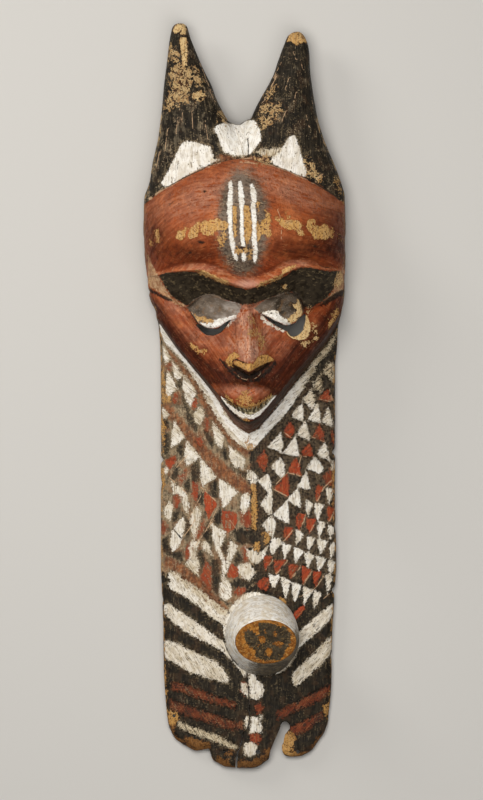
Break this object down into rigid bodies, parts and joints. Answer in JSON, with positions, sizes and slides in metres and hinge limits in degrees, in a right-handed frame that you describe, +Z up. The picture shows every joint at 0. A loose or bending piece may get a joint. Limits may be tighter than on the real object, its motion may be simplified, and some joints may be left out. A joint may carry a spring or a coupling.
{
  "type": "carved horned face mask",
  "caption": "Painted wooden mask carved in one piece, with two horns, a domed forehead over slit eyes and a long flat board beard that carries a round boss.",
  "frame": {"origin": "on the surface the mask lies on, under the middle of its length and width", "axes": "+Y along the mask towards the horn tips, +X to the right as the face is seen, +Z up out of the face; the mask lies on its back"},
  "size_m": [0.232, 0.8606, 0.1177],
  "materials": {
    "painted_wood": "matt earth pigments in red, white and black over carved wood, worn to bare ochre wood on the ridges"
  },
  "bodies": {
    "root": {"mask": "painted_wood"}
  },
  "joints": []
}
